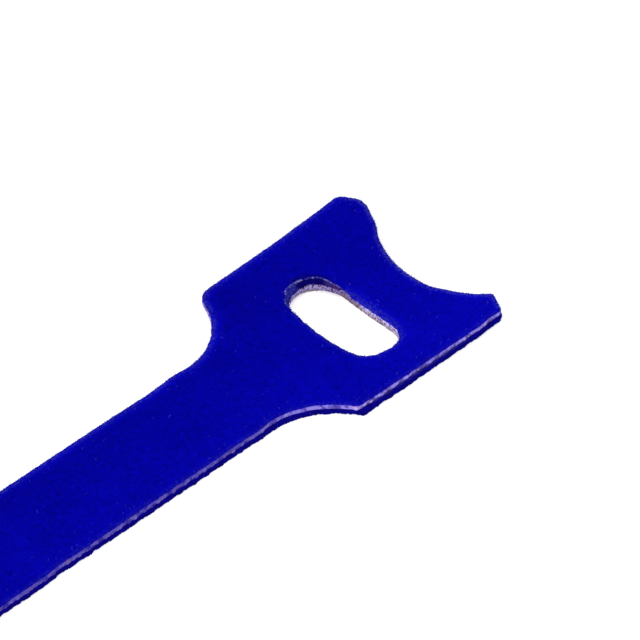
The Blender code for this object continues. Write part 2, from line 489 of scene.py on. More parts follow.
def start_at_turn(slot):
    """The slot's points, counter-clockwise from where its far wall turns, and how far round each one is."""
    turn = np.array([slot[:, 0].max(), SLOT_TURN_Y])
    first = np.argmin(np.linalg.norm(slot - turn, axis=1))
    slot = np.roll(slot, -first, axis=0)
    if slot[10, 1] < slot[0, 1]:
        slot = np.roll(slot[::-1], 1, axis=0)
    return slot, np.arange(len(slot)) * RIM_STEP / MM


def at_rim_points(cut, on_outline, table, distance):
    """One number for each rim point of a cut: the same all along the outline, a table's round the slot."""
    return np.concatenate([np.full(len(cut.rims[0]), on_outline), around_slot(table, distance)[::-1]])


# %% Move the cloth's slot edge and press its lip
SLOT_WAVES = [(0.028, 2.9, 0.0), (0.020, 5.3, 1.0)]
NARROWEST_LIP = 0.02
TURN_START = 0.3 * MM
TURN_STOP = 1.7 * MM

tape_turning, tape_distance = start_at_turn(tape_slot)
tape_cut = Cut(tape_outline, tape_turning[::-1])
tape_light = at_rim_points(tape_cut, 1.0, WALL_LIGHT, tape_distance)

cloth_turning, cloth_distance = start_at_turn(cloth_slot)
bulge = around_slot(SLOT_BULGE, cloth_distance)
wander = wavy(cloth_distance, SLOT_WAVES) * (1 - around_slot(LIP_STRENGTH, cloth_distance))
pulled_slot = cloth_turning - Cut.outwards(cloth_turning) * ((bulge + wander) * MM)[:, None]
cloth_cut = Cut(cloth_outline, pulled_slot[::-1])
lip_width = at_rim_points(cloth_cut, NARROWEST_LIP, LIP_WIDTH, cloth_distance) * MM
lip_strength = at_rim_points(cloth_cut, 0.0, LIP_STRENGTH, cloth_distance)
wall_light = at_rim_points(cloth_cut, 1.0, WALL_LIGHT, cloth_distance)
before_turn = 1 - blend_in(cloth_cut.points[:, 1], TURN_START, TURN_STOP)
far_wall = cloth_cut.on_slot * blend_in(-cloth_cut.outward[:, 0], 0.3, 0.8) * before_turn
slot_centre = tape_slot.mean(axis=0)
check = cloth_cut.contains(np.array([0.0, slot_centre[0]]), np.array([0.0, slot_centre[1]]))
print("strap is cloth:", bool(check[0]), "- slot is cloth:", bool(check[1]))
print("the cloth's edge bulges up to", bulge.max(), "mm into the slot")

# %% [markdown]
# Uneven surfaces
#
# Cloth is never dead flat, and a punched edge wanders a little. A handful of sine waves in random
# directions makes a gentle unevenness that can be worked out at any point, so the cloth and the fibres on
# it agree on where the face is. The waves come from a seeded source and are the same on every run.

# %% Ripples, and the shape of the cloth's face
EDGE_ROUNDING = 0.16 * MM
LIP_DROP = 0.37 * MM
PILE_DEPTH = 0.03 * MM
LIP_FLOOR = 0.25
BROAD_UNEVEN = 0.022 * MM
FINE_UNEVEN = 0.012 * MM


def ripples(x, y, wavelength, seed, waves=9):
    """A smooth unevenness of about -1 to 1."""
    chance = np.random.RandomState(seed)
    total = np.zeros_like(x)
    for _ in range(waves):
        heading = chance.uniform(0, 2 * math.pi)
        length = wavelength * chance.uniform(0.7, 1.5)
        phase = chance.uniform(0, 2 * math.pi)
        total += np.sin((x * math.cos(heading) + y * math.sin(heading)) * 2 * math.pi / length + phase)
    return total / math.sqrt(waves)


def face_height(x, y, distance, number):
    """Height of the cloth's face: rounded over towards the cuts, and pressed down at the slot's lip."""
    near = np.clip(1 - distance / EDGE_ROUNDING, 0, 1)
    drop = EDGE_ROUNDING * (1 - np.sqrt(1 - near**2))
    across_lip = np.clip(distance / lip_width[number], 0, 1)
    pressed = LIP_DROP * lip_strength[number] * (1 - blend_in(across_lip, LIP_FLOOR, 1.0))
    uneven = BROAD_UNEVEN * ripples(x, y, 6 * MM, 11) + FINE_UNEVEN * ripples(x, y, 1.5 * MM, 12)
    return TOP - PILE_DEPTH - drop - pressed + uneven * (1 - near)


print("edge rounding", round(EDGE_ROUNDING / MM, 2), "mm, lip pressed down", round(LIP_DROP / MM, 2), "mm")

# %% [markdown]
# The cloth
#
# The cloth starts as a filled outline with the slot as a hole, extruded to its thickness. Insets along
# the rim give the rounded edge its rings, and cuts in both directions give the face enough points to
# move. Then each point finds its own height from the ripples and from how close it is to a cut. The
# underside lies on the tape and stays whole.

# %% Cut out a ply
def cut_ply(cut, low, high):
    """A bmesh slab between two heights, with the outline and the slot of a ply."""
    ply = bmesh.new()
    for rim in cut.rims:
        corners = [ply.verts.new((x, y, low)) for x, y in rim]
        for i, corner in enumerate(corners):
            ply.edges.new((corners[i - 1], corner))
    bmesh.ops.triangle_fill(ply, use_beauty=True, edges=ply.edges[:], normal=(0, 0, 1))
    raised = bmesh.ops.extrude_face_region(ply, geom=ply.faces[:], use_keep_orig=True)
    moved = [v for v in raised["geom"] if isinstance(v, bmesh.types.BMVert)]
    bmesh.ops.translate(ply, verts=moved, vec=(0, 0, high - low))
    bmesh.ops.recalc_face_normals(ply, faces=ply.faces[:])
    return ply


def slice_ply(ply, places, axis, low=(-1, -1), high=(1, 1)):
    """Cuts across the ply at each place along one axis, between two corners. Its underside stays whole."""
    normal = Vector((0, 0, 0))
    normal[axis] = 1
    centres = [(face, face.calc_center_median()) for face in ply.faces if face.normal.z > -0.5]
    faces = [f for f, c in centres if low[0] < c.x < high[0] and low[1] < c.y < high[1]]
    geometry = list({part for f in faces for part in (f, *f.edges, *f.verts)})
    for at in places:
        sliced = bmesh.ops.bisect_plane(
            ply, geom=geometry, dist=0.0001 * MM, plane_co=normal * at, plane_no=normal
        )
        geometry = sliced["geom"]


# %% Make pieces and reach their points
def finished_piece(name, shape, material):
    """Turns a bmesh into a smooth-shaded object at the origin."""
    mesh = bpy.data.meshes.new(name)
    shape.to_mesh(mesh)
    shape.free()
    mesh.shade_smooth()
    mesh.materials.append(material)
    print(name, "has", len(mesh.polygons), "faces")
    return add_object(name, mesh)


def get_points(mesh):
    flat = np.zeros(len(mesh.vertices) * 3)
    mesh.vertices.foreach_get("co", flat)
    return flat.reshape(-1, 3)


def set_points(mesh, points):
    mesh.vertices.foreach_set("co", np.ascontiguousarray(points, np.float32).ravel())
    mesh.update()


# %% Tell the materials where they are
EDGE_REACH = 1.7 * MM


def store(piece, name, values):
    """Numbers for a piece's material to read: one for each point, or one for each copy in the piece."""
    each = len(piece.data.vertices) // len(values)
    layer = piece.data.attributes.new(name, "FLOAT", "POINT")
    layer.data.foreach_set("value", np.repeat(np.asarray(values, np.float32), each))


def store_place(piece, distance, number):
    """Tells the material how close the cut is, how much light it gets, and where the pressed lip is."""
    out_x, out_y = cloth_cut.outward[number].T
    on_slot = cloth_cut.on_slot[number]
    near_side = blend_in(-out_y, 0.2, 0.8)
    faces_light = np.clip(0.62 + 0.27 * (out_y - out_x), 0, 1) * (1 - 0.9 * near_side)
    shown = np.where(on_slot, 0.88, 1 - 0.14 * near_side) * (lip_strength[number] < 0.05)
    store(piece, "edge", np.clip(1 - distance / EDGE_REACH, 0, 1) * shown)
    store(piece, "lit", np.where(on_slot, 0.8 * np.clip(-out_x, 0, 1), faces_light))
    store(piece, "fuzz", 0.30 + 0.30 * np.where(on_slot, 0, np.clip(out_x, 0, 1)) - 0.20 * near_side)
    store(piece, "lip", np.minimum(distance / lip_width[number], 3))
    store(piece, "crushed", lip_strength[number])
    store(piece, "wall_light", wall_light[number])


# %% Cut out the cloth and give it points
RING_SHARES = (0.08, 0.21, 0.33, 0.38, 0.9, 1.3)
WALL_HEIGHTS = (0.11, 0.22, 0.33, 0.44, 0.50, 0.55)
CLOTH_CELL = 0.6 * MM
LIP_CELL = 0.15 * MM
LIP_LOW = (53.8 * MM, 0.6 * MM)
LIP_HIGH = (64.4 * MM, 7.8 * MM)

cloth_shape = cut_ply(cloth_cut, PLY_JOINT, TOP)
rim_rings = set()
for share in RING_SHARES:
    upward = [f for f in cloth_shape.faces if f.normal.z > 0.9 and f not in rim_rings]
    inner = [f for f in upward if f.calc_center_median().z > TOP - 0.01 * MM]
    ring = bmesh.ops.inset_region(
        cloth_shape, faces=inner, thickness=EDGE_ROUNDING * share, use_even_offset=False, use_boundary=True
    )
    rim_rings.update(ring["faces"])
slice_ply(cloth_shape, PLY_JOINT + np.array(WALL_HEIGHTS) * MM, 2)
for axis in (0, 1):
    slice_ply(cloth_shape, np.arange(cad_low[axis] + CLOTH_CELL, cad_high[axis], CLOTH_CELL), axis)
for axis in (0, 1):
    slice_ply(cloth_shape, np.arange(LIP_LOW[axis], LIP_HIGH[axis], LIP_CELL), axis, LIP_LOW, LIP_HIGH)
print("cloth faces after slicing:", len(cloth_shape.faces))

# %% [markdown]
# The felt finish
#
# Seen close, the blue face is a mat of brushed loops: royal blue with small soft blotches. Painted light
# makes it darkest in the middle of the strap and lighter towards the head's near side, and all along the
# cuts, where the pile stands up, a painted highlight lightens it and a pale fuzz shows. Where the edge is
# cut, the knitted ground shows as a pale lilac band under the blue, dulled on the strap by the pile over it
# and by painted shade. Numbers stored on the mesh tell the material where it is: the height in the ply, how
# close a cut is and how much light that cut gets. Felt has no gloss, so the specular level is nought.

# %% Blue felt over a pale ground
DARKEST_PILE = (0.0008, 0.0007, 0.22)
LIGHTEST_PILE = (0.0020, 0.0016, 0.50)
PALE_FUZZ = (0.092, 0.094, 0.32)
MAROON = (0.085, 0.022, 0.12)
TURN_PURPLE = (0.030, 0.016, 0.14)
# Painted shade on the pressed lip.
LIP_PAINTED_SHADE_BLUE = (0.0022, 0.0010, 0.085)
# A paler fuzzy blue: painted light on the lip where the wall light is strongest.
FUZZY_PAINTED_LIT_BLUE = (0.026, 0.027, 0.27)
# Painted shade on the face just past the pressed lip.
PAINTED_SHADE_PAST_LIP = (0.0014, 0.0012, 0.150)
CREASE_DIM = (0.055, 0.052, 0.25)
CREASE_PALE = (0.19, 0.18, 0.38)
GROUND_LILAC = (0.255, 0.205, 0.70)
GROUND_SHADE = (0.075, 0.055, 0.33)
GROUND_PINK = (0.34, 0.215, 0.50)
BEAD_PALE = (0.42, 0.37, 0.80)
SLOT_LILAC = (0.47, 0.42, 0.78)
# Dark specks on the slot wall, and its painted shade where the wall light is weak.
SLOT_SPECK_AND_SHADE = (0.050, 0.012, 0.085)
# Dull blue for the cut ground on the strap: pile over it and painted shade.
STRAP_PILE_AND_SHADE = (0.004, 0.003, 0.21)


def pile_tone_and_painted_light(finish, spot):
    """How light the pile is, from 0 to 1: broad blotches of tone, painted light that grows towards the head
    and the near side, and a painted highlight along the cuts.
    """
    # Painted light: lighter towards the head and the near side, and a painted highlight by the cuts.
    painted_light_toward_head = spot.part("X").rise(-30.0, 90.0) * 0.232
    painted_highlight_by_cut = finish.attribute("edge").rise(0.0, 0.8) * finish.attribute("lit") * 0.33
    near_side = spot.part("Y").rise(-13.0, -9.0) * 0.10 - 0.10
    broad = finish.noise(spot, 7.0) * 0.40
    return spot.part("Y") * -0.014 + painted_light_toward_head + painted_highlight_by_cut + near_side + 0.032 + broad


def fuzzed(finish, spot, blue):
    """The blue with a pale fuzz close to the cuts."""
    close = finish.attribute("edge").rise(0.50, 1.0) * finish.attribute("fuzz")
    return finish.mix(close * finish.noise(spot, 0.28).rise(0.35, 0.70), blue, PALE_FUZZ)


def shaded_past_lip(finish, blue):
    """The blue, with painted shade where it dips towards the pressed lip, and less of it where the wall's
    painted light is strong.
    """
    beyond = finish.attribute("crushed") * (1 - finish.attribute("lip").rise(1.55, 2.6))
    in_shade = 1 - finish.attribute("wall_light").rise(0.32, 0.36) * 0.7
    return finish.mix(beyond * in_shade, blue, PAINTED_SHADE_PAST_LIP)


def knit_ground(finish, spot, bead=None):
    """The cut ground: lilac with pinkish and shaded patches. In the slot its painted light turns it pale
    lilac or dark specks and painted shade, and on the strap the pile over it and painted shade dull it.
    """
    patches = finish.noise(spot, 0.9)
    lilac = finish.mix(finish.noise(spot, 1.6).rise(0.50, 0.62), GROUND_LILAC, GROUND_PINK)
    ground = finish.mix(patches.rise(0.34, 0.56), GROUND_SHADE, lilac)
    if bead is not None:
        ground = finish.mix((1 - bead.rise(0.0, 0.5)) * 0.8, ground, GROUND_SHADE)
        ground = finish.mix(bead.rise(0.5, 1.0) * 0.5, ground, BEAD_PALE)
    specks = finish.noise(spot, 0.19, detail=1.0)
    light = finish.attribute("wall_light")
    # On the slot wall the colour follows its painted light: pale lilac where strong, specks and painted
    # shade where weak.
    wall = finish.mix(light.rise(-0.6, 1.0), SLOT_SPECK_AND_SHADE, SLOT_LILAC)
    wall = finish.mix((specks + light * 0.10).rise(0.38, 0.57), SLOT_SPECK_AND_SHADE, wall)
    ground = finish.mix(finish.attribute("in_slot"), ground, wall)
    # On the strap the ground is dulled to blue by pile over it and by painted shade.
    return finish.mix(spot.part("X").rise(36.0, 52.0) * -0.66 + 0.66, ground, STRAP_PILE_AND_SHADE)


# %% The felt, from its pile down to the crease
MAT_DEPTH = 0.020 * MM
felt = Finish("felt_on_knit")
spot = felt.place()
blotches = felt.noise(spot, 0.35) * 0.04 + felt.noise(spot, 1.3) * 0.12 - 0.28
tufted = felt.noise(spot, 0.6, detail=0.0).rise(0.64, 0.84) * 0.30
matted = felt.noise(felt.stretch(spot, (1.0, 1.0, -1.0)), 0.8, detail=0.0).rise(0.16, 0.36) * 0.16 - 0.15
pile_blue = felt.mix(pile_tone_and_painted_light(felt, spot) + blotches + tufted + matted, DARKEST_PILE, LIGHTEST_PILE)
pile_blue = shaded_past_lip(felt, fuzzed(felt, spot, pile_blue))
pressed = felt.attribute("crushed")
in_lip = felt.attribute("lip") + felt.noise(spot, 0.25, detail=3.0, roughness=0.65) * 0.70 - 0.35
light = felt.attribute("wall_light")
speckled = felt.noise(spot, 0.22, detail=1.0).rise(0.40, 0.58)
# Inside the pressed lip the colour is painted light and shade, picked by the wall light: purple with maroon
# specks where it is weakest, shaded dark blue, and a paler fuzzy blue where it is strongest.
lip_by_painted_light = felt.mix(1 - light.rise(0.15, 0.25), LIP_PAINTED_SHADE_BLUE, TURN_PURPLE)
lip_by_painted_light = felt.mix((1 - light.rise(0.07, 0.13)) * speckled, lip_by_painted_light, MAROON)
lip_by_painted_light = felt.mix(light.rise(0.32, 0.36) * (speckled * 0.5 + 0.3), lip_by_painted_light, FUZZY_PAINTED_LIT_BLUE)
pile_blue = felt.mix(pressed * (1 - in_lip.rise(0.84, 0.94)), pile_blue, lip_by_painted_light)
crease = in_lip.rise(0.84, 0.94) - in_lip.rise(1.12, 1.36)
crease_tone = felt.mix(felt.noise(spot, 0.3, detail=1.0).rise(0.42, 0.62), CREASE_DIM, CREASE_PALE)
broken = felt.noise(spot, 0.8).rise(0.36, 0.56)
pile_blue = felt.mix(crease * pressed * broken, pile_blue, crease_tone)
ragged = felt.noise(spot, 0.25, detail=1.0) * 0.40 + felt.noise(spot, 1.1) * 0.40 + felt.attribute("layer")
colour = felt.mix(ragged.rise(0.86, 1.06), knit_ground(felt, spot), pile_blue)
mat = felt.noise(spot, 0.30, detail=3.0, roughness=0.6)
tufts = felt.noise(spot, 1.6, detail=1.0)
felt_finish = felt.feed(Base_Color=colour, Normal=felt.bump(mat * 0.12 + tufts * 0.6, MAT_DEPTH))

# %% Shape the cloth
WALL_DROP = 0.5
DROP_LOST = 0.17
BLUE_DOWN_FAR_WALL = 0.53
BLUE_OFF_LIP_WALL = 0.15
WALL_REACH = 0.4 * MM
BLUE_ON_FACE = 0.5
CORNER_REACH = 0.12 * MM

cloth = finished_piece("felt_cloth", cloth_shape, felt_finish)
points = get_points(cloth.data)
x, y, z = points.T
distance, number = cloth_cut.nearest(x, y)
on_face = z > TOP - 0.001 * MM
layer = (z - PLY_JOINT) / MM
strength = lip_strength[number]
wall_drop = strength * (WALL_DROP - DROP_LOST * layer) * MM
wall_z = z - np.where(distance < 0.01 * MM, wall_drop, 0)
new_z = np.where(on_face, face_height(x, y, distance, number), wall_z)
set_points(cloth.data, np.stack([x, y, new_z], axis=1))
blue_on_wall = BLUE_DOWN_FAR_WALL * far_wall[number] - BLUE_OFF_LIP_WALL * strength
layer += blue_on_wall * (1 - blend_in(distance, 0, WALL_REACH))
layer += BLUE_ON_FACE * on_face * blend_in(distance, 0, CORNER_REACH)
store(cloth, "layer", layer)
store_place(cloth, distance, number)
store(cloth, "in_slot", cloth_cut.on_slot[number])

# %% [markdown]
# The hook tape
#
# Below the cloth lies a thin plastic sheet, and from its underside stand rows of moulded hooks, bending
# one way in one row and the other way in the next. The CAD keeps each pair of rows as one rib. One hook
# is modelled, an Array modifier copies it, and one sum in numpy carries each copy to its place, which is
# far quicker than thousands of separate operators. A last row of hooks follows the cut itself, where the
# punch went through.

# %% The sheet of the tape
HOOK_HEIGHT = 0.6 * MM
TAPE_ROUGHNESS = 0.05 * MM
TAPE_NAVY = (0.0030, 0.0016, 0.205)
TAPE_DARK = (0.0020, 0.0009, 0.125)
PUNCHED_GREY = (0.44, 0.37, 0.39)
PUNCHED_LILAC = (0.58, 0.51, 0.72)
PUNCHED_SHADE = (0.14, 0.09, 0.17)
# Painted shade for the punched wall where it gets little light.
PUNCHED_PAINTED_SHADE = (0.09, 0.04, 0.10)
HEAD_SLANT = 0.30
SLANT_TURN = 1.3
WALL_WANDER = 0.06
SLOT_SLANT = [(-6.0, 0.02), (-2.5, 0.04), (0.0, 0.11), (2.0, 0.19), (3.5, 0.19), (5.0, 0.09)]
SIDE_LEAN = [
    (4, 0.08), (16, 0.08), (24, 0), (38, 0), (42, -0.08), (48, -0.08), (52, 0.03), (59, 0.11),
    (66, 0.22), (72, 0.28),
]


def tape_colour(finish, spot):
    """Navy plastic that is paler and greyer on the wall of the punched slot, with painted shade where that
    wall gets little light.
    """
    cloudy = finish.noise(spot, 0.6)
    navy = finish.mix(cloudy.rise(0.35, 0.65), TAPE_DARK, TAPE_NAVY)
    grit = finish.noise(spot, 0.22)
    pale = finish.mix(spot.part("Z").rise(0.15, 0.60), PUNCHED_GREY, PUNCHED_LILAC)
    punched = finish.mix(grit.rise(0.38, 0.62), PUNCHED_SHADE, pale)
    # Painted shade where the slot wall gets little light.
    punched = finish.mix(finish.attribute("wall_light").rise(-0.5, 1.0), PUNCHED_PAINTED_SHADE, punched)
    return finish.mix(finish.attribute("punched"), navy, punched)


tape = Finish("navy_tape", 0.8)
spot = tape.place()
tape_finish = tape.feed(
    Base_Color=tape_colour(tape, spot), Normal=tape.bump(tape.noise(spot, 0.25, detail=3.0), TAPE_ROUGHNESS)
)


def lean_with_punch(points, number):
    """The punch went through the head at a slant, so the tape's cut wall leans as it goes down."""
    x, y, z = points.T
    number = np.repeat(number, len(points) // len(number))
    slant = np.where(tape_cut.on_slot[number], np.interp(y / MM, *zip(*SLOT_SLANT)), HEAD_SLANT)
    at_ears = 1 - SLANT_TURN * blend_in(x, 64 * MM, 73 * MM)
    ahead = slant * (TOP - z) * blend_in(x, 38 * MM, 47 * MM) * at_ears
    lean = np.interp(x / MM, *zip(*SIDE_LEAN)) * blend_in(-y, -2 * MM, 2 * MM)
    lean += WALL_WANDER * ripples(x, y, 1.3 * MM, 13)
    aside = np.where(tape_cut.on_slot[number], 0, lean) * np.maximum(PLY_JOINT - z, 0)
    return np.stack([x + ahead, y + aside, z], axis=1)


def store_wall(piece, number):
    """Tells the material where the slot's punched wall is, and how much light it gets."""
    store(piece, "punched", tape_cut.on_slot[number])
    store(piece, "wall_light", tape_light[number])


sheet_shape = cut_ply(tape_cut, cad_low.z + HOOK_HEIGHT, PLY_JOINT)
tape_sheet = finished_piece("tape_sheet", sheet_shape, tape_finish)
for polygon in tape_sheet.data.polygons:
    polygon.use_smooth = abs(polygon.normal.z) < 0.5
points = get_points(tape_sheet.data)
_, number = tape_cut.nearest(points[:, 0], points[:, 1])
set_points(tape_sheet.data, lean_with_punch(points, number))
store_wall(tape_sheet, number)

# %% Model one hook
def hook_shape():
    """A hook that hangs from z = 0 to -1 and curls towards +X, one unit wide along Y."""
    one = bmesh.new()
    curl = [
        (-0.50, 0.08), (0.50, 0.08), (0.24, -0.34), (0.34, -0.62), (0.70, -0.60), (0.62, -0.94),
        (0.05, -1), (-0.28, -0.52),
    ]
    corners = [one.verts.new((x, -0.5, z)) for x, z in curl]
    side = one.faces.new(corners)
    pulled = bmesh.ops.extrude_face_region(one, geom=[side], use_keep_orig=True)
    moved = [v for v in pulled["geom"] if isinstance(v, bmesh.types.BMVert)]
    bmesh.ops.translate(one, verts=moved, vec=(0, 1, 0))
    bmesh.ops.recalc_face_normals(one, faces=one.faces[:])
    return one


# %% Carry copies to their places
def copies_of(name, shape, count, material):
    """An object with count copies of a small shape, all in one spot, and the shape's own x, y and z."""
    piece = finished_piece(name, shape, material)
    pattern = get_points(piece.data).T[:, None, :]
    repeat = piece.modifiers.new("repeat", "ARRAY")
    repeat.count = count
    repeat.use_relative_offset = False
    repeat.use_constant_offset = False
    evaluated = piece.evaluated_get(bpy.context.evaluated_depsgraph_get())
    whole = bpy.data.meshes.new_from_object(evaluated)
    piece.modifiers.clear()
    old = piece.data
    piece.data = whole
    bpy.data.meshes.remove(old)
    whole.name = name
    print(name, "has", count, "copies and", len(whole.polygons), "faces")
    return piece, pattern


def beside(x, y, heading, along, aside=0.0):
    """Where points lie that are so far along and to the left of each heading: one row for each copy."""
    cos, sin = np.cos(heading)[:, None], np.sin(heading)[:, None]
    return x[:, None] + cos * along - sin * aside, y[:, None] + sin * along + cos * aside


def as_points(x, y, z):
    return np.stack([x, y, z], axis=2).reshape(-1, 3)


def place_hooks(name, x, y, heading, length, width, shortest, chance):
    """Hooks at the given spots, each turned to its heading. The tips end at slightly different heights."""
    piece, (u, v, w) = copies_of(name, hook_shape(), len(x), tape_finish)
    piece.data.shade_flat()
    tall = HOOK_HEIGHT * chance.uniform(shortest, 1.0, len(x))[:, None]
    across = beside(x, y, heading, u * length, v * width)
    return piece, as_points(*across, cad_low.z + HOOK_HEIGHT + w * tall)


# %% Stand the hooks in their rows
ROW_PITCH = 0.5 * MM
HOOK_PITCH = 0.62 * MM
HOOK_LENGTH = 0.38 * MM
HOOK_WIDTH = 0.30 * MM
SHORTEST_HOOK = 0.90
RIM_MARGIN = 0.5 * MM
chance = np.random.RandomState(21)
rows = np.arange(math.ceil(cad_low.y / ROW_PITCH), math.floor(cad_high.y / ROW_PITCH) + 1)
along = np.arange(cad_low.x + 0.3 * MM, cad_high.x, HOOK_PITCH)
row, hook_x = (grid.ravel() for grid in np.meshgrid(rows, along, indexing="ij"))
hook_x = hook_x + HOOK_PITCH / 2 * (row % 2)
hook_y = row * ROW_PITCH
hook_turn = math.pi * (row % 2)
distance, _ = tape_cut.nearest(hook_x, hook_y)
keep = tape_cut.contains(hook_x, hook_y) & (distance > RIM_MARGIN)
hook_x, hook_y, hook_turn = hook_x[keep], hook_y[keep], hook_turn[keep]
hooks, points = place_hooks(
    "moulded_hooks", hook_x, hook_y, hook_turn, HOOK_LENGTH, HOOK_WIDTH, SHORTEST_HOOK, chance
)
set_points(hooks.data, points)
store(hooks, "punched", [0])
store(hooks, "wall_light", [0])

# %% Hooks that the punch cut through, along the rims
CUT_HOOK_STEP = 0.21 * MM
CUT_HOOK_LENGTH = 0.44 * MM
CUT_HOOK_WIDTH = 0.20 * MM
SHORTEST_CUT_HOOK = 0.80
spots, number = tape_cut.samples(CUT_HOOK_STEP, chance)
set_in = chance.uniform(0.09, 0.13, len(spots)) * MM
spots = spots - tape_cut.outward[number] * set_in[:, None]
edge_turn = tape_cut.heading[number] + math.pi / 2
cut_hooks, points = place_hooks(
    "cut_hooks", *spots.T, edge_turn, CUT_HOOK_LENGTH, CUT_HOOK_WIDTH, SHORTEST_CUT_HOOK, chance
)
set_points(cut_hooks.data, lean_with_punch(points, number))
store_wall(cut_hooks, number)

# %% [markdown]
# The pile
#
# Hook and loop fabric works because its face is a mat of fine loops. Each fibre here is a thin tube that
# rises from the cloth, bends sideways and dips back in. It is modelled once, copied by an Array modifier,
# and then every copy is bent along its own small arch. The fibres are three-sided, because most are
# thinner than half a pixel in the picture, and that keeps many thousands of them light.

# %% Model one straight fibre
FIBRE_SEGMENTS = 5


def fibre_shape():
    """A three-sided tube along Z from 0 to 1, of radius 1, with both ends drawn to a point."""
    one = bmesh.new()
    ring = bmesh.ops.create_circle(one, cap_ends=False, segments=3, radius=1.0)["verts"]
    first = ring
    edges = one.edges[:]
    for _ in range(FIBRE_SEGMENTS):
        grown = bmesh.ops.extrude_edge_only(one, edges=edges)["geom"]
        ring = [g for g in grown if isinstance(g, bmesh.types.BMVert)]
        edges = [g for g in grown if isinstance(g, bmesh.types.BMEdge)]
        bmesh.ops.translate(one, verts=ring, vec=(0, 0, 1 / FIBRE_SEGMENTS))
    bmesh.ops.pointmerge(one, verts=first, merge_co=(0, 0, 0))
    bmesh.ops.pointmerge(one, verts=ring, merge_co=(0, 0, 1))
    bmesh.ops.recalc_face_normals(one, faces=one.faces[:])
    return one


def bend_fibres(piece, pattern, centre, heading, radius, flatness=1.0):
    """Carries each copy of the fibre along its line. centre(t) gives x, y, z for each fibre and each t."""
    u, v, t = pattern
    x, y, z = centre(t)
    side_x, side_y = -np.sin(heading)[:, None], np.cos(heading)[:, None]
    radius = radius[:, None]
    bent = as_points(x + side_x * u * radius, y + side_y * u * radius, z + v * radius * flatness)
    set_points(piece.data, bent)


# %% A finish for the fibres
FIBRE_PALE = (0.036, 0.032, 0.60)
hair = Finish("pile_fibre")
spot = hair.place()
tone = hair.attribute("tone")
# The fibres share the felt's painted light and painted highlight.
tone_and_painted_light = pile_tone_and_painted_light(hair, spot) + tone * 0.05 - 0.16
blue = shaded_past_lip(hair, fuzzed(hair, spot, hair.mix(tone_and_painted_light, DARKEST_PILE, LIGHTEST_PILE)))
# Fibres on the pressed lip take its painted shade.
blue = hair.mix(hair.attribute("crushed") * (hair.attribute("lip") < 1.0), blue, LIP_PAINTED_SHADE_BLUE)
fibre_finish = hair.feed(Base_Color=hair.mix(tone.rise(1.0, 2.0), blue, FIBRE_PALE))

# %% Spread the pile over the face
FIBRES_A_PIECE = 8200
PILE_MARGIN = 0.10 * MM
FIBRE_FLATNESS = 0.5
PRESSED = 0.3
EDGE_ZONE = 1.4 * MM
PALE_AT_EDGE = 0.11
PALE_INSIDE = 0.008


def spread_pile(name, seed):
    """A piece of arched fibres, spread at random over the cloth's face."""
    chance = np.random.RandomState(seed)
    x = chance.uniform(cad_low.x, cad_high.x, FIBRES_A_PIECE * 3)
    y = chance.uniform(cad_low.y, cad_high.y, FIBRES_A_PIECE * 3)
    good = cloth_cut.contains(x, y)
    x, y = x[good][:FIBRES_A_PIECE], y[good][:FIBRES_A_PIECE]
    distance, number = cloth_cut.nearest(x, y)
    past_lip = np.where(lip_strength[number] > PRESSED, distance - lip_width[number] * 1.2, distance)
    good = past_lip > PILE_MARGIN
    x, y, distance, number, past_lip = (values[good] for values in (x, y, distance, number, past_lip))
    count = len(x)
    piece, pattern = copies_of(name, fibre_shape(), count, fibre_finish)
    heading = chance.uniform(0, 2 * math.pi, count)
    reach = np.minimum(chance.uniform(0.5, 1.3, count) * MM, past_lip * 2.0 + PILE_MARGIN)
    rise = chance.uniform(0.01, 0.06, count) * MM
    sway = chance.uniform(-0.28, 0.28, count) * reach
    radius = chance.uniform(0.012, 0.020, count) * MM
    pale = chance.uniform(0, 1, count) > 1 - np.where(distance < EDGE_ZONE, PALE_AT_EDGE, PALE_INSIDE)
    heading = np.where(pale, chance.normal(math.pi / 4, 0.5, count), heading)
    reach = np.where(pale, np.minimum(reach, chance.uniform(0.25, 0.70, count) * MM), reach)
    radius = np.where(pale, chance.uniform(0.030, 0.065, count) * MM, radius)
    base = face_height(x, y, distance, number)

    def centre(t):
        along = (t - 0.5) * reach[:, None]
        aside = np.sin(math.pi * t) * sway[:, None]
        height = base[:, None] - 0.012 * MM + np.sin(math.pi * t) * rise[:, None]
        return *beside(x, y, heading, along, aside), height

    bend_fibres(piece, pattern, centre, heading, radius, FIBRE_FLATNESS)
    tone = np.where(pale, chance.uniform(1.15, 1.7, count), chance.uniform(0, 1, count))
    store(piece, "tone", tone)
    store_place(piece, distance, number)
    return piece


pile_pieces = [spread_pile("pile_fibres_a", 31), spread_pile("pile_fibres_b", 32)]

# %% [markdown]
# The frayed edge
#
# Along every cut, fibres of the pile lean out over the edge and hang down in front of the pale ground.
# They soften the outline and give the border between blue and lilac its ragged look.

# %% Fibres over the edge
FRINGE_STEP = 0.11 * MM
FRINGE_ARCH = 0.05 * MM
FRINGE_PALE_SHARE = 0.12
chance = np.random.RandomState(41)
spots, number = cloth_cut.samples(FRINGE_STEP, chance)
count = len(spots)
fringe, pattern = copies_of("edge_fibres", fibre_shape(), count, fibre_finish)
way_out = cloth_cut.heading[number] + chance.normal(0, 0.6, count)
start_in = chance.uniform(0.08, 0.35, count) * MM
overhang = chance.uniform(-0.02, 0.13, count) * MM
droop = chance.uniform(0.02, 0.26, count) * MM
fibre_radius = chance.uniform(0.014, 0.024, count) * MM
start = spots - cloth_cut.outward[number] * start_in[:, None]
edge_level = TOP - PILE_DEPTH - LIP_DROP * lip_strength[number]


def over_the_edge(t):
    """Out along the face, over the rounding and down."""
    run = (start_in + overhang)[:, None] * np.sin(np.minimum(t * 1.25, 1) * math.pi / 2)
    arch = FRINGE_ARCH * np.sin(t * math.pi) - (EDGE_ROUNDING * 0.6 + droop[:, None]) * t**2.2
    return *beside(*start.T, way_out, run), edge_level[:, None] + arch


